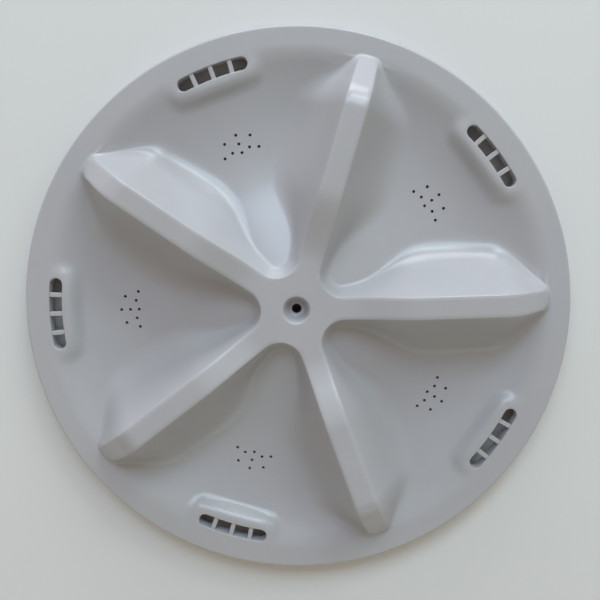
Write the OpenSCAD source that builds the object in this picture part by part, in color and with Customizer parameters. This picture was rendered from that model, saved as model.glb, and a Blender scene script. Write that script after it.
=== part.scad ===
// Washing machine pulsator: one moulded disc with five hollow vanes round a hub.
// It stands on the lower edge of its skirt, vanes up, with the axis on Z.

/* [Disc] */
// Outside diameter of the disc
disc_d = 360; // [352:2:400]
// Height of the flat rim band above the lower edge of the skirt
skirt_h = 18; // [17:0.5:30]
// Thickness of the moulded wall
wall = 2.6; // [2:0.1:3.2]
// Thickness of the skirt
skirt_wall = 2.6; // [2:0.1:3.4]
// Radius of the rounded outer edge
rim_round = 3; // [2.8:0.1:4]

/* [Dish] */
// Width of the level band along the rim
band_w = 17; // [14:0.5:19]
// Softness of the edge between band and dish
band_soft = 3; // [1:0.2:4]
// Radius of the lowest ring of the dish
groove_r = 114; // [104:1:120]
// Depth of that ring below the rim band
groove_depth = 13; // [8:0.2:13.4]
// Radius where the cone round the hub runs into the dish
cone_r = 70; // [60:1:90]
// Angle of that cone
cone_angle = 18; // [12:0.5:21]

/* [Hub] */
// Height of the hub above the rim band
hub_rise = 20; // [18:0.5:24]
// Radius of the corner between two vanes, seen from above
web_r = 15; // [12:0.5:18]
// Diameter of the mouth of the conical screw recess
recess_d = 17.2; // [15:0.2:19]
// Diameter of its floor, on which the screw sits
seat_d = 9.6; // [9:0.2:13]
// Depth of the screw recess
recess_depth = 9; // [5:0.5:10]
// Diameter of the screw hole
screw_d = 6.2; // [5:0.1:8]

/* [Vanes] */
// Number of vanes
vane_count = 5; // [4:1:6]
// Width of a vane's flat top
vane_w = 14.2; // [12:0.2:17]
// How much narrower the top is at the tip
tip_narrow = 1.6; // [0:0.1:3]
// Height of the vanes above the rim band
vane_rise = 32.4; // [26:0.2:36]
// Radius where the top leaves the hub
ramp_r0 = 32; // [29:1:36]
// Radius where the top is level again
ramp_r1 = 79; // [70:1:90]
// Distance from the outside of the disc to the end of a vane's top
tip_gap = 15.5; // [14:0.5:20]
// Length over which the top falls to the tip
tip_len = 35.5; // [30:0.5:40]
// Length of the bend at the start of that fall
tip_bend = 18; // [10:0.5:22]
// Angle of the top at the tip
tip_angle = 48; // [42:0.5:49]
// Angle of the end face
end_angle = 64; // [56:1:66]
// Angle of the flanks near the hub
flank_hub = 60; // [56:0.5:64]
// Angle of the flanks from the middle outwards
flank_out = 66; // [60:0.5:67]
// Softness of the top edges
edge_soft = 1.4; // [1:0.1:3]
// Softness of the corners at the tip, seen from above
nose_soft = 6; // [2:0.2:7]
// Softness of the foot of the flanks at hub and tip
foot_soft = 6; // [3:0.2:8]
// Softness of the foot of the flanks in the middle
foot_soft_mid = 34; // [20:0.5:38]

/* [Slots] */
// Distance from the outside of the disc to the middle line of the slots
slot_in = 19.8; // [18:0.2:21]
// Width of a slot
slot_w = 8.3; // [6:0.1:9]
// Length of a slot along its middle line
slot_len = 47.6; // [42:0.2:52]
// Number of windows in a slot
slot_windows = 4; // [3:1:5]
// Width of the bars between the windows
slot_bar = 3; // [2:0.1:4]
// Depth of the bars below the pad
bar_depth = 0.8; // [0.4:0.1:1.2]
// Thickness of the wall that stands round a slot on the underside
collar_t = 1.8; // [1.4:0.1:2.4]
// Depth of that wall below the rim band
collar_depth = 9; // [6:0.5:11]
// Distance from that middle line in to the edge of the level pad
pad_in = 7.6; // [6:0.2:9]
// Half the length of the pad
pad_half = 25.5; // [24:0.5:28]
// Corner radius of the pad
pad_corner = 5; // [2:0.5:8]
// Width of the soft wall round the pad
pad_wall = 10; // [6:0.5:12]

/* [Drain holes] */
// Diameter of a drain hole
drain_d = 2; // [1.4:0.1:3]
// Radius of the innermost row of drain holes
drain_r = 107.5; // [104:0.5:112]
// Spacing of the drain holes
drain_pitch = 6; // [5:0.1:7]

/* [Underside] */
// Diameter of the drive boss
boss_d = 30; // [28:0.5:34]
// Height of the boss mouth above the lower edge of the skirt
boss_lift = 4; // [2:0.5:8]
// Outer diameter of the serrated drive socket
socket_d = 12; // [10:0.2:14]
// Depth of the teeth of the socket
socket_tooth = 1; // [0.6:0.1:1.4]
// Number of teeth in the socket
socket_teeth = 11; // [8:1:16]
// Depth of the socket from the boss mouth
socket_depth = 20; // [12:1:21]
// Depth of the plain lead-in at the mouth
lead_depth = 5; // [3:0.5:8]
// Clearance of the lead-in round the teeth
lead_gap = 0.3; // [0.2:0.05:0.6]
// Thickness of the ribs
rib_t = 2; // [1.6:0.1:3]
// Height of the ribs above the lower edge of the skirt
rib_lift = 2.5; // [1.5:0.5:4]
// Reach of the gussets under the vanes, from the axis
gusset_r = 66; // [40:1:76]
// Reach of the ribs under the valleys, from the axis
rib_r = 92; // [60:1:96]

/* [Hidden] */
$fn = 96;

disc_r = disc_d / 2;
band_r = disc_r - band_w;
slot_r = disc_r - slot_in;
pad_r = slot_r - pad_in;
tip_r1 = disc_r - tip_gap;
tip_r0 = tip_r1 - tip_len;
// Radius beyond which the moulding is level all round
rim_r = max(band_r + 2 * band_soft, tip_r1 + 4);
half = 180 / vane_count;
hub_z = skirt_h + hub_rise;
groove_z = skirt_h - groove_depth;
// Radius at which the web between two vanes begins on the line between them
web_in = (vane_w / 2 + web_r) / sin(half) - web_r;
// Share of the sector that each column of points may reach, from the vane's middle to the valley's
caps = [0, 0.05, 0.14, 0.34, 0.5, 0.66, 0.8, 0.87, 0.92, 0.96, 1];

// Smooth minimum and maximum, rounding over a difference of k
function smin(a, b, k) = min(a, b) - pow(max(k - abs(a - b), 0), 2) / (4 * k);
function smax(a, b, k) = -smin(-a, -b, k);
// Smooth step from 0 at a to 1 at b
function ease(a, b, x) = let (t = min(max((x - a) / (b - a), 0), 1)) t * t * (3 - 2 * t);
function span(a, b, n) = [for (i = [0:n - 1]) a + (b - a) * i / n];

// Section of the dish: a cone round the hub, a round groove, and the level band
function groove(r) = let (k = tan(cone_angle) / (2 * (groove_r - cone_r)))
    r >= groove_r ? groove_z + groove_depth * pow((r - groove_r) / (band_r - groove_r), 2)
    : r >= cone_r ? groove_z + k * pow(groove_r - r, 2)
    : groove_z + k * pow(groove_r - cone_r, 2) + (cone_r - r) * tan(cone_angle);
function dish(r) = r >= rim_r ? skirt_h : smin(groove(r), skirt_h, band_soft);

// Distance outside the pad of a slot, at radius r and angle b from the pad's middle
function pad_gap(r, b) = let (x = pad_r - r * cos(b), y = r * sin(b) - pad_half,
    o = [max(x + pad_corner, 0), max(y + pad_corner, 0)])
    norm(o) - pad_corner + min(max(x, y) + pad_corner, 0);
// Dish with the pads; t below the outer face the pads draw in, so that their steep wall stays thick
function dish_pad(r, a, t) = let (z = dish(r), p = ease(0, pad_wall, pad_gap(r, half - a) + t / 2))
    z + (skirt_h - z) * (1 - p) - t;

// Height of a vane's top, its half width and its flank slope, at distance u along it
function fall(x) = x <= 0 ? 0 : tan(tip_angle) * (x < tip_bend ? x * x / (2 * tip_bend) : x - tip_bend / 2);
function ridge(u) = hub_z + (vane_rise - hub_rise) * ease(ramp_r0, ramp_r1, u) - fall(u - tip_r0);
function top_half(u) = (vane_w - tip_narrow * ease(tip_r0, tip_r1, u)) / 2;
function slope(u) = tan(flank_hub + (flank_out - flank_hub) * ease(ramp_r0, ramp_r1, u));
function foot(u) = foot_soft + (foot_soft_mid - foot_soft)
    * ease(ramp_r0 + 20, groove_r, u) * (1 - ease(tip_r0, tip_r1, u));

// Distance from the edge of the star-shaped top, at radius r and angle a from a vane's middle
function side_gap(r, a) = let (u = r * cos(a), v = r * sin(a), w = top_half(u),
    vc = w + web_r, uc = vc / tan(half))
    u >= uc ? v - w : web_r - norm([u - uc, v - vc]);
function top_gap(r, a) = let (u = r * cos(a), f = tan(end_angle) / slope(u))
    smax(side_gap(r, a), (u - tip_r1) * f, nose_soft);

// Height of the moulding, t below its outer face
function skin(r, a, t) = let (u = r * cos(a), s = slope(u), z = ridge(u))
    smax(dish_pad(r, a, t),
        smin(z - t, z - s * top_gap(r, a) - t * sqrt(1 + s * s), edge_soft), foot(u));

// Angle at radius r of the line that lies g outside the edge of the star
function line_angle(r, g) = let (w = top_half(r), vc = w + web_r, d = vc / sin(half),
    c = (r * r + d * d - pow(web_r - g, 2)) / (2 * r * d), b = half - acos(min(c, 1)))
    g < web_r && c < 1 && r * cos(b) < vc / tan(half) ? b
    : r < vc / tan(half) && g < web_r ? half : asin(min((w + g) / r, 1));
// Distance from the edge of the star to the foot of the flank, at radius r
function foot_gap(r, n = 3, a = 10) =
    let (u = r * cos(a), g = max((ridge(u) - dish(r)) / slope(u), edge_soft))
    n == 0 ? g : foot_gap(r, n - 1, min(asin(min((top_half(u) + g) / r, 1)), half));

// Angles of the columns of points at radius r, from a vane's middle to the next valley's: the vane's
// edge, its flank and its foot, then the pad of the slot, turning even towards the rim
function columns(r) = let (q = min(max(r, web_in + 1), rim_r),
    m = min(max((r - q) / (disc_r - rim_round - q), 0), 1),
    e = edge_soft / 3, g = foot_gap(q), k = min(foot(q) / slope(q), g * 0.6),
    in = line_angle(q, -e), out = line_angle(q, e), start = line_angle(q, g - k),
    end = line_angle(q, g), far = max(line_angle(q, g + k), 1), p = ease(tip_r0 - 11, tip_r0 + 11, q),
    pads = [for (i = [2:-1:0]) half - asin((pad_half + pad_wall * i / 2) / max(q, 60))],
    inner = [0, in, out, (out + start) / 2, start, end, far,
        for (i = [1:3]) far + (half - far) * i / 4, half],
    outer = [0, in, out, start, end, far, max((far + pads[0]) / 2, far + (half - far) / 8),
        for (i = [1:3]) max(pads[i - 1], far + (half - far) * (i + 1) / 8), half])
    [for (j = [0:10]) let (c = (1 - p) * inner[j] + p * outer[j])
        m * half * j / 10 + (1 - m) * (j < 2 ? c : min(c, in + (half - in) * caps[j]))];

// Radii of the rings of points on the outer face, and fewer for the underside
rings = [9.6, web_in - 1.4, each span(web_in, web_in + 6, 4), each span(web_in + 6, ramp_r0 + 8, 2),
    each span(ramp_r0 + 8, ramp_r1, 6), each span(ramp_r1, tip_r0, 5), each span(tip_r0, tip_r1, 8),
    tip_r1, tip_r1 + 1.6, rim_r, rim_r + 3];
under = [9.6, each span(web_in - 1, ramp_r0 + 3, 4), each span(ramp_r0 + 3, ramp_r1, 4),
    each span(ramp_r1, tip_r0, 4), each span(tip_r0, tip_r1, 6), tip_r1, rim_r];
// Rounded outer edge and skirt, as radius and height
edge = [for (t = [0:30:90]) [disc_r - rim_round + rim_round * sin(t), skirt_h - rim_round + rim_round * cos(t)],
    [disc_r, 0], [disc_r - skirt_wall, 0], [disc_r - skirt_wall, skirt_h - wall]];

// Points of one ring from the angles of its columns, mirrored at the vane and at the valley
function turn(c) = let (n = len(c) - 1)
    [for (k = [0:vane_count - 1], j = [-n:n - 1]) [c[abs(j)], 2 * half * k + (j < 0 ? -c[-j] : c[j])]];
function skin_ring(r, t) = [for (q = turn(columns(r))) [r * cos(q[1]), r * sin(q[1]), skin(r, q[0], t)]];
function edge_ring(p) = [for (q = turn(columns(p[0]))) [p[0] * cos(q[1]), p[0] * sin(q[1]), p[1]]];

// The moulding: rows of points over the outer face, round the edge and back along the underside
module shell() {
    rows = [for (r = rings) skin_ring(r, 0), for (p = edge) edge_ring(p),
        for (i = [len(under) - 1:-1:0]) skin_ring(under[i], wall)];
    m = len(rows[0]);
    last = len(rows) - 1;
    top = len(rows) * m;
    faces = [
        for (i = [0:last - 1], j = [0:m - 1]) let (a = i * m + j, b = i * m + (j + 1) % m)
            each [[a, b, b + m], [a, b + m, a + m]],
        for (j = [0:m - 1]) each [[top, (j + 1) % m, j], [top + 1, last * m + j, last * m + (j + 1) % m]]];
    polyhedron([for (row = rows) each row, [0, 0, hub_z], [0, 0, hub_z - wall]], faces, convexity = 8);
}

// Bar with round ends along the middle line of a slot, g wider all round, from height z0 to z1
module arc_bar(g, z0, z1) {
    w = slot_w + 2 * g;
    a = (slot_len - slot_w) * 90 / (PI * slot_r);
    translate([0, 0, z0]) {
        rotate([0, 0, -a]) rotate_extrude(angle = 2 * a) translate([slot_r - w / 2, 0]) square([w, z1 - z0]);
        for (s = [-1, 1]) rotate([0, 0, s * a]) translate([slot_r, 0]) cylinder(d = w, h = z1 - z0);
    }
}

// What is cut for one slot: all of it but the bars, which lie a little below the pad
module slot() difference() {
    pitch = (slot_len + slot_bar) / slot_windows;
    arc_bar(0, skirt_h - collar_depth - 1, skirt_h + 1);
    for (i = [1:slot_windows - 1]) rotate([0, 0, (i - slot_windows / 2) * pitch * 180 / (PI * slot_r)])
        translate([slot_r - slot_w, -slot_bar / 2, skirt_h - wall])
            cube([2 * slot_w, slot_bar, wall - bar_depth]);
}

// Drain holes in an arrow of rows, placed in steps of their spacing: outwards, then across
module drains() {
    steps = [[0, 0], [1, 0], [2, 0], for (s = [-1, 1]) each [[0.3, s], [0, 2 * s], [1.5, 1.5 * s]]];
    for (p = drain_pitch * steps) translate([drain_r + p[0], p[1], 0])
        rotate([0, 0, 20]) cylinder(d = drain_d, h = skirt_h, $fn = 24);
}

// Serrated outline of the drive socket
module serration() {
    r = socket_d / 2;
    polygon([for (i = [0:2 * socket_teeth - 1]) let (a = 180 * i / socket_teeth)
        (i % 2 == 0 ? r : r - socket_tooth) * [cos(a), sin(a)]]);
}

// Rib under a valley or a vane, from the boss to radius r1, its top 1 mm inside the wall
module rib(a, r1) {
    r0 = boss_d / 2 - 1;
    stops = [r0, for (r = under) if (r > r0 && r < r1) r, r1];
    rotate([90, 0, 0]) translate([0, 0, -rib_t / 2]) linear_extrude(rib_t)
        polygon([[r1, rib_lift], [r0, rib_lift], for (r = stops) [r, skin(r, a, wall) + 1]]);
}

module pulsator() color("gainsboro") difference() {
    union() {
        shell();
        translate([0, 0, boss_lift]) cylinder(d = boss_d, h = hub_z - wall + 1 - boss_lift);
        for (k = [0:vane_count - 1]) {
            rotate([0, 0, 2 * half * k]) rib(0, gusset_r);
            rotate([0, 0, 2 * half * k + half]) {
                rib(half, rib_r);
                arc_bar(collar_t, skirt_h - collar_depth, skirt_h - wall / 2);
            }
        }
    }
    translate([0, 0, hub_z - recess_depth])
        cylinder(d1 = seat_d, d2 = recess_d + (recess_d - seat_d) / recess_depth, h = recess_depth + 1);
    cylinder(d = screw_d, h = hub_z);
    translate([0, 0, boss_lift - 1]) linear_extrude(socket_depth + 1) serration();
    translate([0, 0, boss_lift - 1]) cylinder(d = socket_d + 2 * lead_gap, h = lead_depth + 1);
    for (k = [0:vane_count - 1]) rotate([0, 0, 2 * half * k + half]) {
        slot();
        drains();
    }
}

pulsator();
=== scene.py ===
"""Finished washing machine pulsator: one satin polypropylene moulding under soft studio light.

The outer face is a height over radius and angle: a dish with a level rim band, a level pad round
each slot, a star-shaped hub, and hollow vanes with flat tops. The underside is the same surface one
wall lower. Sizes are in millimetres, as in the part's source, and turn to metres in the meshes.
"""

from __future__ import annotations

import logging
import math
from dataclasses import dataclass, field
from enum import Enum
from typing import Any, Sequence

import bmesh
import bpy
import numpy as np
from mathutils import Euler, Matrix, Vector

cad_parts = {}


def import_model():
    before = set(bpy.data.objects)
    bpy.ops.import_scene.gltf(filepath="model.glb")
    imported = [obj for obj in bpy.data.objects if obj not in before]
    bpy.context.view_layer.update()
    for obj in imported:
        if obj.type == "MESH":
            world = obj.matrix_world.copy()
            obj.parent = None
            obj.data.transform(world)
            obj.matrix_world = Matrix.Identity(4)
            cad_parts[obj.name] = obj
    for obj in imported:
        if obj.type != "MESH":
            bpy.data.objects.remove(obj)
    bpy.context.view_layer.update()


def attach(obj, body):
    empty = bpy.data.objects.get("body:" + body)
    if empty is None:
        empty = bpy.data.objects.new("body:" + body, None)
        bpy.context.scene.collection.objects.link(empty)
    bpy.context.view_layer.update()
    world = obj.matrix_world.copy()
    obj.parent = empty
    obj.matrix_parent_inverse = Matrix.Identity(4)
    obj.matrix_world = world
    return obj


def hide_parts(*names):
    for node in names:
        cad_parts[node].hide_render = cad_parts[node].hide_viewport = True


LOG = logging.getLogger("pulsator")
MM = 0.001
NODE = "pulsator"
BODY = "root"

Point = tuple[float, float, float]
Rings = Sequence[Sequence[Point]]


class Cut(Enum):
    """What a tool body does to the moulding."""

    ADD = "UNION"
    REMOVE = "DIFFERENCE"


def linear(hex_colour: str) -> tuple[float, float, float, float]:
    """Turn an sRGB hex colour to linear light.

    Args:
        hex_colour: Colour as "#rrggbb".

    Returns:
        Linear red, green and blue, and an alpha of one.
    """
    parts = [int(hex_colour[i:i + 2], 16) / 255 for i in (1, 3, 5)]
    lin = [c / 12.92 if c <= 0.04045 else ((c + 0.055) / 1.055) ** 2.4 for c in parts]
    return (lin[0], lin[1], lin[2], 1.0)


def smin(a: Any, b: Any, k: Any) -> Any:
    """Smooth minimum of a and b, rounding over a difference of k."""
    return np.minimum(a, b) - np.maximum(k - np.abs(a - b), 0) ** 2 / (4 * k)


def smax(a: Any, b: Any, k: Any) -> Any:
    """Smooth maximum of a and b, rounding over a difference of k."""
    return -smin(-a, -b, k)


def ease(a: float, b: float, x: Any) -> Any:
    """Smooth step from 0 at a to 1 at b."""
    t = np.clip((x - a) / (b - a), 0.0, 1.0)
    return t * t * (3 - 2 * t)


def divided(values: Sequence[float], counts: Sequence[int]) -> list[float]:
    """Divide each interval between neighbouring values evenly.

    Args:
        values: Rising values.
        counts: Number of steps for each interval.

    Returns:
        All values, the given ones included.
    """
    out = [
        lo + (hi - lo) * i / n
        for lo, hi, n in zip(values, values[1:], counts)
        for i in range(n)
    ]
    return out + [values[-1]]


@dataclass(frozen=True)
class WaveForm:
    """Sizes and height function of the moulded wave surface, in millimetres and degrees."""

    disc_r: float = 180.0
    skirt_h: float = 18.0
    wall: float = 2.6
    skirt_wall: float = 2.6
    rim_round: float = 1.5
    band_w: float = 17.0
    band_soft: float = 3.0
    groove_r: float = 114.0
    groove_depth: float = 13.0
    cone_r: float = 70.0
    cone_angle: float = 18.0
    hub_rise: float = 20.0
    web_r: float = 15.0
    vane_count: int = 5
    vane_w: float = 14.2
    tip_narrow: float = 1.6
    vane_rise: float = 32.4
    ramp_r0: float = 32.0
    ramp_r1: float = 79.0
    tip_gap: float = 15.5
    tip_len: float = 35.5
    tip_bend: float = 18.0
    tip_angle: float = 48.0
    end_angle: float = 64.0
    flank_hub: float = 70.0
    flank_out: float = 66.0
    edge_soft: float = 1.4
    nose_soft: float = 6.0
    foot_soft: float = 6.0
    foot_soft_mid: float = 34.0
    foot_r0: float = 42.0
    foot_r1: float = 90.0
    slot_in: float = 19.8
    pad_in: float = 7.6
    pad_half: float = 25.5
    pad_corner: float = 5.0
    pad_wall: float = 10.0

    @property
    def half(self) -> float:
        """Angle from a vane's middle to the next valley's."""
        return 180.0 / self.vane_count

    @property
    def band_r(self) -> float:
        """Radius where the rim band ends and the dish begins."""
        return self.disc_r - self.band_w

    @property
    def slot_r(self) -> float:
        """Radius of the middle line of the slots."""
        return self.disc_r - self.slot_in

    @property
    def tip_r1(self) -> float:
        """Radius of the end of a vane's top."""
        return self.disc_r - self.tip_gap

    @property
    def tip_r0(self) -> float:
        """Radius where a vane's top begins to fall to the tip."""
        return self.tip_r1 - self.tip_len

    @property
    def rim_r(self) -> float:
        """Radius beyond which the moulding is level all round."""
        return max(self.band_r + 2 * self.band_soft, self.tip_r1 + 4)

    @property
    def hub_z(self) -> float:
        """Height of the hub's flat top."""
        return self.skirt_h + self.hub_rise

    @property
    def web_in(self) -> float:
        """Radius at which the web between two vanes begins on the line between them."""
        return (self.vane_w / 2 + self.web_r) / math.sin(math.radians(self.half)) - self.web_r

    def dish(self, r: Any) -> Any:
        """Height of the dish: a cone round the hub, a round groove and the level band."""
        low = self.skirt_h - self.groove_depth
        t = math.tan(math.radians(self.cone_angle))
        k = t / (2 * (self.groove_r - self.cone_r))
        rising = low + self.groove_depth * ((r - self.groove_r) / (self.band_r - self.groove_r)) ** 2
        level = np.full_like(rising, self.skirt_h)
        outer = np.where(r >= self.rim_r, level, smin(rising, level, self.band_soft))
        bowl = low + k * (self.groove_r - r) ** 2
        cone = low + k * (self.groove_r - self.cone_r) ** 2 + (self.cone_r - r) * t
        return np.where(r >= self.groove_r, outer, np.where(r >= self.cone_r, bowl, cone))

    def floor(self, r: Any, a: Any, t: float) -> Any:
        """Height of the dish with the level pads round the slots, t below the outer face.

        The pads draw in below the outer face, so that their steep wall stays thick; a is in radians.
        """
        b = math.radians(self.half) - a
        x = self.slot_r - self.pad_in - r * np.cos(b) + self.pad_corner
        y = r * np.sin(b) - self.pad_half + self.pad_corner
        gap = np.hypot(np.maximum(x, 0), np.maximum(y, 0)) - self.pad_corner + np.minimum(np.maximum(x, y), 0)
        z = self.dish(r)
        return z + (self.skirt_h - z) * (1 - ease(0.0, self.pad_wall, gap + t / 2)) - t

    def ridge(self, u: Any) -> Any:
        """Height of a vane's top at distance u along it."""
        x = np.maximum(u - self.tip_r0, 0)
        bend = np.where(x < self.tip_bend, x * x / (2 * self.tip_bend), x - self.tip_bend / 2)
        rise = (self.vane_rise - self.hub_rise) * ease(self.ramp_r0, self.ramp_r1, u)
        return self.hub_z + rise - math.tan(math.radians(self.tip_angle)) * bend

    def top_half(self, u: Any) -> Any:
        """Half the width of a vane's flat top."""
        return (self.vane_w - self.tip_narrow * ease(self.tip_r0, self.tip_r1, u)) / 2

    def slope(self, u: Any) -> Any:
        """Slope of a vane's flanks."""
        turn = ease(self.ramp_r0, self.ramp_r1, u)
        return np.tan(np.radians(self.flank_hub + (self.flank_out - self.flank_hub) * turn))

    def foot(self, u: Any) -> Any:
        """Softness of the foot of a vane's flanks."""
        swell = ease(self.foot_r0, self.foot_r1, u) * (1 - ease(self.tip_r0, self.tip_r1, u))
        return self.foot_soft + (self.foot_soft_mid - self.foot_soft) * swell

    def skin(self, r: Any, a: Any, t: float) -> Any:
        """Height of the moulding, t below its outer face.

        Args:
            r: Radii.
            a: Angles from the nearest vane's middle, in radians.
            t: Depth below the outer face.

        Returns:
            Heights.
        """
        u, v = r * np.cos(a), r * np.sin(a)
        w, s, z = self.top_half(u), self.slope(u), self.ridge(u)
        vc = w + self.web_r
        uc = vc / math.tan(math.radians(self.half))
        side = np.where(u >= uc, v - w, self.web_r - np.hypot(u - uc, v - vc))
        end = (u - self.tip_r1) * math.tan(math.radians(self.end_angle)) / s
        gap = smax(side, end, self.nose_soft)
        star = smin(z - t, z - s * gap - t * np.sqrt(1 + s * s), self.edge_soft)
        return smax(self.floor(r, a, t), star, self.foot(u))


@dataclass(frozen=True)
class PointRows:
    """Where the points of the surface lie: rings and columns that follow its edges and feet."""

    form: WaveForm
    steps: tuple[int, ...] = (3, 3, 3, 3, 3, 3, 2, 2, 2, 3)
    caps: tuple[float, ...] = (0, 0.05, 0.14, 0.34, 0.5, 0.66, 0.8, 0.87, 0.92, 0.96, 1)

    def line_angle(self, r: float, g: float) -> float:
        """Angle at radius r of the line that lies g outside the edge of the star, in degrees."""
        f = self.form
        half = math.radians(f.half)
        w = float(f.top_half(r))
        vc = w + f.web_r
        d = vc / math.sin(half)
        c = (r * r + d * d - (f.web_r - g) ** 2) / (2 * r * d)
        if g < f.web_r and c < 1:
            b = half - math.acos(c)
            if r * math.cos(b) < vc / math.tan(half):
                return math.degrees(b)
        if r < vc / math.tan(half) and g < f.web_r:
            return f.half
        return math.degrees(math.asin(min((w + g) / r, 1.0)))

    def foot_gap(self, r: float) -> float:
        """Distance from the edge of the star to the foot of the flank, at radius r."""
        f = self.form
        a, g = 10.0, 0.0
        for _ in range(4):
            u = r * math.cos(math.radians(a))
            g = max(float((f.ridge(u) - f.dish(r)) / f.slope(u)), f.edge_soft)
            a = min(math.degrees(math.asin(min((float(f.top_half(u)) + g) / r, 1.0))), f.half)
        return g

    def columns(self, r: float) -> list[float]:
        """Angles of the guiding columns at radius r, from a vane's middle to the valley's."""
        f = self.form
        half = f.half
        q = min(max(r, f.web_in + 1), f.rim_r)
        m = min(max((r - q) / (f.disc_r - f.rim_round - q), 0.0), 1.0)
        e, g = f.edge_soft / 3, self.foot_gap(q)
        k = min(float(f.foot(q) / f.slope(q)), g * 0.6)
        inside, outside = self.line_angle(q, -e), self.line_angle(q, e)
        start, end = self.line_angle(q, g - k), self.line_angle(q, g)
        far = max(self.line_angle(q, g + k), 1.0)
        p = float(ease(f.tip_r0 - 11, f.tip_r0 + 11, q))
        pads = [
            half - math.degrees(math.asin((f.pad_half + f.pad_wall * i / 2) / max(q, 60.0)))
            for i in (2, 1, 0)
        ]
        inner = [0, inside, outside, (outside + start) / 2, start, end, far]
        inner += [far + (half - far) * i / 4 for i in (1, 2, 3)] + [half]
        outer = [0, inside, outside, start, end, far, max((far + pads[0]) / 2, far + (half - far) / 8)]
        outer += [max(pads[i - 1], far + (half - far) * (i + 1) / 8) for i in (1, 2, 3)] + [half]
        out = []
        for j, (near, away) in enumerate(zip(inner, outer)):
            c = (1 - p) * near + p * away
            if j > 1:
                c = min(c, inside + (half - inside) * self.caps[j])
            out.append(m * half * j / 10 + (1 - m) * c)
        return out

    def turn(self, r: float) -> tuple[np.ndarray, np.ndarray]:
        """All points of a ring.

        Args:
            r: Radius of the ring.

        Returns:
            Angle from the nearest vane's middle and angle round the disc, both in radians.
        """
        c = np.radians(np.array(divided(self.columns(r), self.steps)))
        folded = np.concatenate([c[:0:-1], c[:-1]])
        signed = np.concatenate([-c[:0:-1], c[:-1]])
        sector = 2 * math.pi / self.form.vane_count
        around = np.concatenate([signed + k * sector for k in range(self.form.vane_count)])
        return np.tile(folded, self.form.vane_count), around

    def top_radii(self) -> list[float]:
        """Radii of the rings on the outer face."""
        f = self.form
        keys = [9.0, f.web_in - 1.4, f.web_in + 6, f.ramp_r0 + 8, f.ramp_r1, f.tip_r0, f.tip_r1]
        keys += [f.tip_r1 + 1.6, f.rim_r, f.rim_r + 3]
        return divided(keys, (3, 14, 8, 18, 16, 28, 3, 3, 2))

    def under_radii(self) -> list[float]:
        """Radii of the rings on the underside."""
        f = self.form
        keys = [9.0, f.web_in - 1.4, f.web_in + 6, f.ramp_r0 + 8, f.ramp_r1, f.tip_r0, f.tip_r1, f.rim_r]
        return divided(keys, (2, 9, 4, 10, 9, 16, 2))

    def rim(self) -> list[tuple[float, float]]:
        """Section of the rounded outer edge and of the skirt, as radius and height."""
        f = self.form
        q, lip, nook = f.rim_round, 0.5, 2.0
        inner = f.disc_r - f.skirt_wall
        ceiling = f.skirt_h - f.wall

        def arc(x: float, z: float, r: float, a0: int, a1: int, n: int) -> list[tuple[float, float]]:
            """Points of an arc about (x, z), its angles counted from +X towards +Z."""
            turns = [math.radians(a0 + (a1 - a0) * i / n) for i in range(n + 1)]
            return [(x + r * math.cos(t), z + r * math.sin(t)) for t in turns]

        out = [(f.disc_r - q - 1.5, f.skirt_h)] + arc(f.disc_r - q, f.skirt_h - q, q, 90, 0, 10)
        out += [(f.disc_r, 8.0)] + arc(f.disc_r - lip, lip, lip, 0, -90, 4)
        out += arc(inner + lip, lip, lip, -90, -180, 4) + [(inner, 7.0)]
        return out + arc(inner - nook, ceiling - nook, nook, 0, 90, 5)


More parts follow.
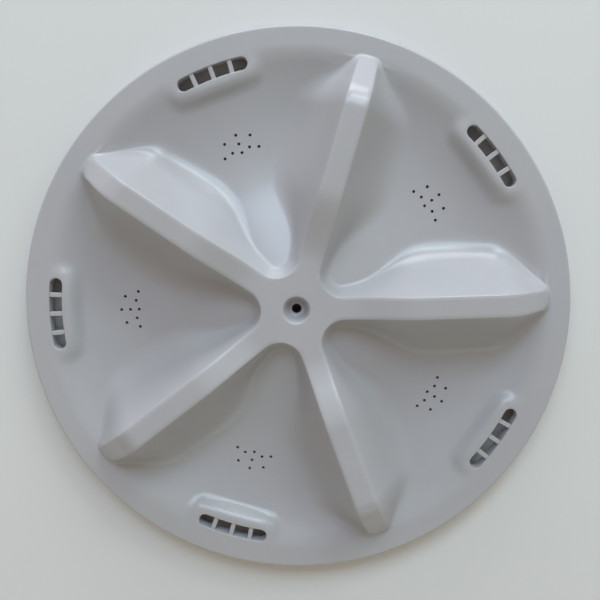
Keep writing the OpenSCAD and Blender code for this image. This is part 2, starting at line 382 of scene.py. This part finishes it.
class Bench:
    """Mesh tools: each makes or changes one object and leaves nothing selected."""

    @staticmethod
    def clear() -> None:
        """Deselect everything."""
        bpy.ops.object.select_all(action="DESELECT")

    @classmethod
    def only(cls, obj: bpy.types.Object) -> None:
        """Make obj the active and only selected object."""
        cls.clear()
        obj.select_set(True)
        bpy.context.view_layer.objects.active = obj

    @classmethod
    def loft(cls, name: str, rings: Rings) -> bpy.types.Object:
        """Close a body over rings of points by extruding a filled circle from ring to ring.

        Args:
            name: Name of the new object.
            rings: Rings with the same number of points each, in millimetres.

        Returns:
            The closed body.
        """
        cls.clear()
        count = len(rings[0])
        bpy.ops.mesh.primitive_circle_add(vertices=count, radius=1.0, fill_type="NGON")
        obj = bpy.context.object
        obj.name = name
        bpy.ops.object.mode_set(mode="EDIT")
        edit = bmesh.from_edit_mesh(obj.data)
        edit.verts.ensure_lookup_table()
        ring = list(edit.verts)
        order = sorted(range(count), key=lambda i: math.atan2(-ring[i].co.x, -ring[i].co.y))
        last: dict[tuple[float, float, float], int] = {}
        for place, i in enumerate(order):
            ring[i].co = Vector(rings[0][place]) * MM
            last[tuple(round(c, 7) for c in ring[i].co)] = place
        for points in rings[1:]:
            bpy.ops.mesh.select_all(action="SELECT")
            edit = bmesh.from_edit_mesh(obj.data)
            cls.keep_end(edit, last)
            bpy.ops.mesh.extrude_region_move()
            edit = bmesh.from_edit_mesh(obj.data)
            moved: dict[tuple[float, float, float], int] = {}
            for vert in [v for v in edit.verts if v.select]:
                place = last[tuple(round(c, 7) for c in vert.co)]
                vert.co = Vector(points[place]) * MM
                moved[tuple(round(c, 7) for c in vert.co)] = place
            bmesh.update_edit_mesh(obj.data)
            last = moved
        bpy.ops.mesh.select_all(action="SELECT")
        bpy.ops.mesh.normals_make_consistent(inside=False)
        bpy.ops.object.mode_set(mode="OBJECT")
        cls.clear()
        return obj

    @staticmethod
    def keep_end(edit: bmesh.types.BMesh, last: dict[tuple[float, float, float], int]) -> None:
        """Select only the end face whose corners are the last ring's points."""
        for face in edit.faces:
            corners = [tuple(round(c, 7) for c in v.co) for v in face.verts]
            face.select_set(False)
            face.tag = len(corners) == len(last) and all(c in last for c in corners)
        ends = [face for face in edit.faces if face.tag]
        ends[-1].select_set(True)

    @classmethod
    def join(cls, target: bpy.types.Object, tool: bpy.types.Object, how: Cut) -> None:
        """Add a tool body to target or cut it from target, and delete the tool."""
        cls.only(target)
        mod = target.modifiers.new(how.value.lower(), "BOOLEAN")
        mod.operation = how.value
        mod.solver = "MANIFOLD"
        mod.object = tool
        bpy.ops.object.modifier_apply(modifier=mod.name)
        bpy.data.objects.remove(tool, do_unlink=True)
        cls.clear()


def circle(r: float, z: float, n: int = 96, x: float = 0.0, y: float = 0.0) -> list[Point]:
    """Points of a level circle of radius r about (x, y) at height z."""
    turns = [2 * math.pi * (i + 0.5) / n for i in range(n)]
    return [(x + r * math.cos(t), y + r * math.sin(t), z) for t in turns]


def turned(points: Sequence[Point], angle: float) -> list[Point]:
    """Points turned about the vertical axis by an angle in degrees."""
    c, s = math.cos(math.radians(angle)), math.sin(math.radians(angle))
    return [(x * c - y * s, x * s + y * c, z) for x, y, z in points]


@dataclass(frozen=True)
class WaveShell:
    """The moulded shell: outer face, rounded edge, skirt and underside."""

    rows: PointRows

    def build(self) -> bpy.types.Object:
        """Shape one grid into the closed shell.

        Returns:
            The shell, closed at the axis and round the disc.
        """
        form = self.rows.form
        around = self.rows.turn(100.0)[1]
        tops = self.rows.top_radii()
        unders = self.rows.under_radii()[::-1]
        lines = [np.tile([0.0, 0.0, form.hub_z], (len(around), 1))]
        lines += [self.line(r, 0.0) for r in tops]
        for r, z in self.rows.rim():
            spin = self.rows.turn(r)[1]
            lines.append(np.column_stack([r * np.cos(spin), r * np.sin(spin), np.full(len(spin), z)]))
        lines += [self.line(r, form.wall) for r in unders]
        lines.append(np.tile([0.0, 0.0, form.hub_z - form.wall], (len(around), 1)))
        places = np.array(lines) * MM
        places = np.concatenate([places, places[:, :1]], axis=1)
        return self.shaped(places)

    def line(self, r: float, depth: float) -> np.ndarray:
        """Points of the ring at radius r, depth below the outer face."""
        folded, spin = self.rows.turn(r)
        z = self.rows.form.skin(np.full(len(spin), r), folded, depth)
        return np.column_stack([r * np.cos(spin), r * np.sin(spin), z])

    @staticmethod
    def shaped(places: np.ndarray) -> bpy.types.Object:
        """Move a grid's points to their places and close the seams."""
        count, width = places.shape[0] - 1, places.shape[1] - 1
        Bench.clear()
        bpy.ops.mesh.primitive_grid_add(x_subdivisions=width, y_subdivisions=count, size=2.0)
        obj = bpy.context.object
        obj.name = "pulsator_moulding"
        flat = np.empty(len(obj.data.vertices) * 3)
        obj.data.vertices.foreach_get("co", flat)
        grid = flat.reshape(-1, 3)
        col = np.rint((grid[:, 0] + 1) / 2 * width).astype(int)
        row = np.rint((grid[:, 1] + 1) / 2 * count).astype(int)
        obj.data.vertices.foreach_set("co", places[row, col].ravel())
        obj.data.update()
        bpy.ops.object.mode_set(mode="EDIT")
        bpy.ops.mesh.select_all(action="SELECT")
        bpy.ops.mesh.remove_doubles(threshold=1e-6)
        bpy.ops.mesh.normals_make_consistent(inside=False)
        bpy.ops.object.mode_set(mode="OBJECT")
        Bench.clear()
        return obj


@dataclass(frozen=True)
class Hub:
    """The screw recess on top, and the drive boss with its serrated socket below."""

    form: WaveForm
    recess_d: float = 17.2
    seat_d: float = 9.6
    recess_depth: float = 9.0
    screw_d: float = 6.2
    boss_d: float = 30.0
    boss_lift: float = 4.0
    socket_d: float = 12.0
    socket_tooth: float = 1.0
    socket_teeth: int = 11
    socket_depth: float = 20.0
    lead_depth: float = 5.0
    lead_gap: float = 0.3
    recess_round: float = 1.6
    lip: float = 1.0

    def add_boss(self, body: bpy.types.Object) -> None:
        """Join the boss to the underside."""
        top = self.form.hub_z - self.form.wall + 1
        r, z = self.boss_d / 2, self.boss_lift
        rings = [circle(r - 0.5, z), circle(r, z + 0.5), circle(r, top)]
        Bench.join(body, Bench.loft("boss", rings), Cut.ADD)

    def cut(self, body: bpy.types.Object) -> None:
        """Cut the recess, the screw hole and the socket."""
        top, mouth, seat = self.form.hub_z, self.recess_d / 2, self.seat_d / 2
        floor = top - self.recess_depth
        wall = math.atan2(self.recess_depth, mouth - seat)
        foot, lip = self.recess_round, self.lip
        section = self.rounded((seat - foot, floor), (seat, floor),
                               (seat + foot * math.cos(wall), floor + foot * math.sin(wall)))
        section += self.rounded((mouth - lip * math.cos(wall), top - lip * math.sin(wall)), (mouth, top),
                                (mouth + lip, top))
        section.append((mouth + lip, top + 2))
        Bench.join(body, Bench.loft("recess", [circle(r, z) for r, z in section]), Cut.REMOVE)
        hole = [circle(self.screw_d / 2, 10.0), circle(self.screw_d / 2, floor - 0.5)]
        hole += [circle(self.screw_d / 2 + 0.5, floor), circle(self.screw_d / 2 + 0.5, floor + 1)]
        Bench.join(body, Bench.loft("screw_hole", hole), Cut.REMOVE)
        low = self.boss_lift - 1
        teeth = [self.serration(low), self.serration(self.boss_lift + self.socket_depth)]
        Bench.join(body, Bench.loft("socket", teeth), Cut.REMOVE)
        lead = self.socket_d / 2 + self.lead_gap
        rings = [circle(lead + 1.5, low), circle(lead, self.boss_lift + 0.5)]
        rings.append(circle(lead, self.boss_lift + self.lead_depth))
        Bench.join(body, Bench.loft("lead_in", rings), Cut.REMOVE)

    @staticmethod
    def rounded(start: tuple[float, float], corner: tuple[float, float],
                end: tuple[float, float]) -> list[tuple[float, float]]:
        """Points of a curve from start to end that rounds the corner between them."""
        out = []
        for i in range(7):
            t = i / 6
            out.append(tuple((1 - t) ** 2 * a + 2 * t * (1 - t) * b + t * t * c
                             for a, b, c in zip(start, corner, end)))
        return out

    def serration(self, z: float) -> list[Point]:
        """Serrated outline of the socket at height z."""
        out = []
        for i in range(2 * self.socket_teeth):
            t = math.pi * i / self.socket_teeth
            r = self.socket_d / 2 - (self.socket_tooth if i % 2 else 0.0)
            out.append((r * math.cos(t), r * math.sin(t), z))
        return out


@dataclass(frozen=True)
class Slots:
    """The slots near the rim, each with a wall round it below and bars across it."""

    form: WaveForm
    slot_w: float = 8.3
    slot_len: float = 47.6
    windows: int = 4
    bar: float = 3.0
    bar_depth: float = 0.8
    collar_t: float = 1.8
    collar_depth: float = 9.0
    lip: float = 0.5

    @property
    def slot_r(self) -> float:
        """Radius of the middle line of the slots."""
        return self.form.slot_r

    def outline(self, g: float, z: float) -> list[Point]:
        """Outline of a slot at height z, g wider all round."""
        w = self.slot_w / 2 + g
        a = (self.slot_len - self.slot_w) / 2 / self.slot_r
        out = [((self.slot_r + w) * math.cos(t), (self.slot_r + w) * math.sin(t), z) for t in np.linspace(-a, a, 24)]
        out += self.cap(a, w, z, 0)
        out += [((self.slot_r - w) * math.cos(t), (self.slot_r - w) * math.sin(t), z) for t in np.linspace(a, -a, 24)]
        return out + self.cap(-a, w, z, 180)

    def cap(self, a: float, w: float, z: float, start: float) -> list[Point]:
        """Round end of an outline about the end of the middle line at angle a."""
        cx, cy = self.slot_r * math.cos(a), self.slot_r * math.sin(a)
        turns = [a + math.radians(start + 180 * i / 14) for i in range(1, 14)]
        return [(cx + w * math.cos(t), cy + w * math.sin(t), z) for t in turns]

    def work(self, body: bpy.types.Object, angle: float) -> None:
        """Add the wall of one slot and cut its windows.

        Args:
            body: The moulding.
            angle: Direction of the slot's middle, in degrees.
        """
        f = self.form
        low = f.skirt_h - self.collar_depth
        wall = [self.outline(self.collar_t - 0.3, low), self.outline(self.collar_t, low + 0.3)]
        wall.append(self.outline(self.collar_t, f.skirt_h - f.wall / 2))
        Bench.join(body, Bench.loft("slot_wall", [turned(p, angle) for p in wall]), Cut.ADD)
        tool = [self.outline(0.0, low - 1), self.outline(0.0, f.skirt_h - self.lip)]
        tool += [self.outline(self.lip * (1 - math.cos(t)), f.skirt_h - self.lip * (1 - math.sin(t)))
                 for t in (math.radians(30), math.radians(60), math.radians(90))]
        tool.append(self.outline(self.lip, f.skirt_h + 1))
        cutter = Bench.loft("slot_cutter", [turned(p, angle) for p in tool])
        pitch = (self.slot_len + self.bar) / self.windows / self.slot_r
        for i in range(1, self.windows):
            turn = angle + math.degrees((i - self.windows / 2) * pitch)
            bar = [turned(self.bar_section(z, inset), turn) for z, inset in (
                (f.skirt_h - f.wall, 0.0), (f.skirt_h - self.bar_depth - 0.3, 0.0), (f.skirt_h - self.bar_depth, 0.3))]
            Bench.join(cutter, Bench.loft("bar", bar), Cut.REMOVE)
        Bench.join(body, cutter, Cut.REMOVE)

    def bar_section(self, z: float, inset: float) -> list[Point]:
        """Outline of a bar at height z, its long sides drawn in by inset."""
        x0, x1, y = self.slot_r - self.slot_w, self.slot_r + self.slot_w, self.bar / 2 - inset
        return [(x0, -y, z), (x1, -y, z), (x1, y, z), (x0, y, z)]


@dataclass(frozen=True)
class DrainHoles:
    """The small drain holes in the valleys, in an arrow of rows."""

    form: WaveForm
    hole_d: float = 2.0
    first_r: float = 107.5
    pitch: float = 6.0
    steps: tuple[tuple[float, float], ...] = (
        (0, 0), (1, 0), (2, 0), (0.3, 1), (0.3, -1), (0, 2), (0, -2), (1.5, 1.5), (1.5, -1.5))

    def cut(self, body: bpy.types.Object, angle: float) -> None:
        """Cut the holes of one valley, whose middle points along angle."""
        for out, side in self.steps:
            x, y = self.first_r + out * self.pitch, side * self.pitch
            rings = [turned(circle(self.hole_d / 2, z, 20, x, y), angle) for z in (0.5, self.form.skirt_h)]
            Bench.join(body, Bench.loft("drain_hole", rings), Cut.REMOVE)


@dataclass(frozen=True)
class Ribs:
    """Thin ribs on the underside, from the boss out under the vanes and the valleys."""

    form: WaveForm
    thickness: float = 2.0
    lift: float = 2.5
    root_r: float = 14.0
    vane_reach: float = 66.0
    valley_reach: float = 92.0

    def add(self, body: bpy.types.Object, angle: float, folded: float, reach: float) -> None:
        """Add one rib.

        Args:
            body: The moulding.
            angle: Direction of the rib, in degrees.
            folded: Its angle from the nearest vane's middle, in degrees.
            reach: Its outer radius.
        """
        radii = np.linspace(self.root_r, reach, 40)
        heights = self.form.skin(radii, np.full(len(radii), math.radians(folded)), self.form.wall) + 1
        side = [(reach, self.lift), (self.root_r, self.lift)] + list(zip(radii.tolist(), heights.tolist()))
        half = self.thickness / 2
        rings = [turned([(r, y, z) for r, z in side], angle) for y in (-half, half)]
        Bench.join(body, Bench.loft("rib", rings), Cut.ADD)


@dataclass(frozen=True)
class NodeTool:
    """Adds nodes to a material's tree."""

    tree: bpy.types.NodeTree

    def add(self, kind: str, inputs: dict[str | int, Any] | None = None, **settings: Any) -> bpy.types.Node:
        """Add a node with its settings, input values and links.

        Args:
            kind: Node type.
            inputs: Socket values; an output socket is linked.
            **settings: Attributes of the node.

        Returns:
            The new node.
        """
        node = self.tree.nodes.new(kind)
        for name, value in settings.items():
            setattr(node, name, value)
        for name, value in (inputs or {}).items():
            if isinstance(value, bpy.types.NodeSocket):
                self.tree.links.new(value, node.inputs[name])
            else:
                node.inputs[name].default_value = value
        return node


@dataclass(frozen=True)
class SatinPolypropylene:
    """Injection moulded polypropylene, light grey-white: a satin skin, faintly cloudy and uneven."""

    base: str = "#b3b1b3"
    cloud: str = "#aaa9ad"
    roughness: float = 0.24
    ior: float = 1.49
    cloud_mm: float = 55.0
    grain_mm: float = 0.9
    sink_mm: float = 22.0

    def make(self) -> bpy.types.Material:
        """Build the material.

        Returns:
            The material, with its patterns on Object coordinates.
        """
        mat = bpy.data.materials.new("satin_polypropylene")
        mat.use_nodes = True
        mat.node_tree.nodes.clear()
        tool = NodeTool(mat.node_tree)
        place = tool.add("ShaderNodeTexCoord").outputs["Object"]
        # Slow change of tone over the moulding, as pigment and wall thickness vary
        cloud = tool.add("ShaderNodeTexNoise", {"Vector": place, "Scale": 1 / (self.cloud_mm * MM), "Detail": 3.0,
                                                "Roughness": 0.55})
        tone = tool.add("ShaderNodeMix", {"Factor": cloud.outputs["Fac"], "A": linear(self.base),
                                          "B": linear(self.cloud)}, data_type="RGBA")
        # Gloss changes a little where the tool's surface was worn
        rough = tool.add("ShaderNodeMapRange", {"Value": cloud.outputs["Fac"], "From Min": 0.1, "From Max": 0.9,
                                                "To Min": self.roughness - 0.02, "To Max": self.roughness + 0.03})
        # Shallow sink marks, and the fine grain of the tool, drawn coarse enough to show
        sink = tool.add("ShaderNodeTexNoise", {"Vector": place, "Scale": 1 / (self.sink_mm * MM), "Detail": 1.0})
        grain = tool.add("ShaderNodeTexNoise", {"Vector": place, "Scale": 1 / (self.grain_mm * MM), "Detail": 2.0})
        wave = tool.add("ShaderNodeBump", {"Height": sink.outputs["Fac"], "Strength": 0.35, "Distance": 0.4 * MM})
        skin = tool.add("ShaderNodeBump", {"Height": grain.outputs["Fac"], "Strength": 0.25, "Distance": 0.02 * MM,
                                           "Normal": wave.outputs["Normal"]})
        shader = tool.add("ShaderNodeBsdfPrincipled", {
            "Base Color": tone.outputs["Result"], "Roughness": rough.outputs["Result"], "IOR": self.ior,
            "Normal": skin.outputs["Normal"]})
        tool.add("ShaderNodeOutputMaterial", {"Surface": shader.outputs["BSDF"]})
        return mat


@dataclass(frozen=True)
class StudioPaper:
    """Pale matt paper under the object."""

    colour: str = "#d9d8d6"

    def make(self) -> bpy.types.Material:
        """Build the material."""
        mat = bpy.data.materials.new("studio_paper")
        mat.use_nodes = True
        shader = mat.node_tree.nodes["Principled BSDF"]
        shader.inputs["Base Color"].default_value = linear(self.colour)
        shader.inputs["Roughness"].default_value = 0.9
        return mat


@dataclass
class Pulsator:
    """The whole moulding: shell, boss, ribs, slots and holes."""

    form: WaveForm = field(default_factory=WaveForm)

    def build(self) -> bpy.types.Object:
        """Model the moulding as one body.

        Returns:
            The finished object.
        """
        form = self.form
        body = WaveShell(PointRows(form)).build()
        hub, slots, drains, ribs = Hub(form), Slots(form), DrainHoles(form), Ribs(form)
        hub.add_boss(body)
        for k in range(form.vane_count):
            vane = 2 * form.half * k
            ribs.add(body, vane, 0.0, ribs.vane_reach)
            ribs.add(body, vane + form.half, form.half, ribs.valley_reach)
        hub.cut(body)
        for k in range(form.vane_count):
            valley = form.half * (2 * k + 1)
            slots.work(body, valley)
            drains.cut(body, valley)
        self.finish(body)
        return body

    @staticmethod
    def finish(body: bpy.types.Object) -> None:
        """Shade the moulding smooth, dress it, attach it to its body and hide the part it stands for."""
        Bench.only(body)
        bpy.ops.object.shade_smooth_by_angle(angle=math.radians(32))
        body.data.materials.clear()
        body.data.materials.append(SatinPolypropylene().make())
        Bench.clear()
        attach(body, BODY)
        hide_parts(NODE)
        LOG.info("%s: %d faces", body.name, len(body.data.polygons))


@dataclass(frozen=True)
class SoftBox:
    """One rectangular soft light that faces the disc."""

    name: str
    place: Point
    size: tuple[float, float]
    power: float
    colour: str

    def add(self) -> None:
        """Add the light, pointed at the middle of the disc."""
        data = bpy.data.lights.new(self.name, "AREA")
        data.shape = "RECTANGLE"
        data.size, data.size_y = self.size
        data.energy = self.power
        data.color = linear(self.colour)[:3]
        lamp = bpy.data.objects.new(self.name, data)
        lamp.location = self.place
        lamp.rotation_euler = (-Vector(self.place)).to_track_quat("-Z", "Y").to_euler()
        lamp.visible_camera = False
        bpy.context.scene.collection.objects.link(lamp)


@dataclass(frozen=True)
class Studio:
    """Floor, light and camera."""

    floor_half: float = 3.0
    world: str = "#fff0de"
    world_level: float = 0.44
    boxes: tuple[SoftBox, ...] = (
        SoftBox("low_window", (0.0, 2.971, 0.418), (2.25, 1.0), 52.0, "#f4f7ff"),
        SoftBox("sky_light", (0.0, 1.928, 2.298), (2.25, 1.0), 41.8, "#cbe5ff"),
        SoftBox("bright_pane", (0.943, 2.333, 1.634), (0.7, 0.4), 9.0, "#e7ffff"),
        SoftBox("side_window", (1.67, 1.99, 1.5), (2.25, 1.0), 15.0, "#e3fffd"),
        SoftBox("room_light", (0.0, -2.719, 1.268), (2.25, 1.0), 5.5, "#c0fffb"),
    )
    eye_mm: Point = (10.9, 60.28, 513.1)
    turn_deg: Point = (-6.4884, 0.794, -1.9053)
    lens_mm: float = 45.326

    def build(self) -> None:
        """Set up the floor, the light and the camera."""
        scene = bpy.context.scene
        scene.view_settings.view_transform = "Standard"
        Bench.clear()
        bpy.ops.mesh.primitive_plane_add(size=2 * self.floor_half, location=(0, 0, -0.0002))
        floor = bpy.context.object
        floor.name = "studio_floor"
        bpy.ops.object.transform_apply(location=True)
        floor.data.materials.append(StudioPaper().make())
        Bench.clear()
        world = bpy.data.worlds.new("studio_air")
        world.use_nodes = True
        air = world.node_tree.nodes["Background"]
        air.inputs["Color"].default_value = linear(self.world)
        air.inputs["Strength"].default_value = self.world_level
        scene.world = world
        for box in self.boxes:
            box.add()
        camera = bpy.data.cameras.new("view")
        camera.lens = self.lens_mm
        camera.sensor_width = 36.0
        holder = bpy.data.objects.new("view", camera)
        holder.location = Vector(self.eye_mm) * MM
        holder.rotation_euler = Euler([math.radians(a) for a in self.turn_deg], "XYZ")
        scene.collection.objects.link(holder)
        scene.camera = holder


def main() -> None:
    """Load the frame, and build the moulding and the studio."""
    logging.basicConfig(level=logging.INFO, format="%(name)s: %(message)s")
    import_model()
    piece = Pulsator().build()
    Studio().build()
    LOG.info("built %s", piece.name)


if __name__ == "__main__":
    main()
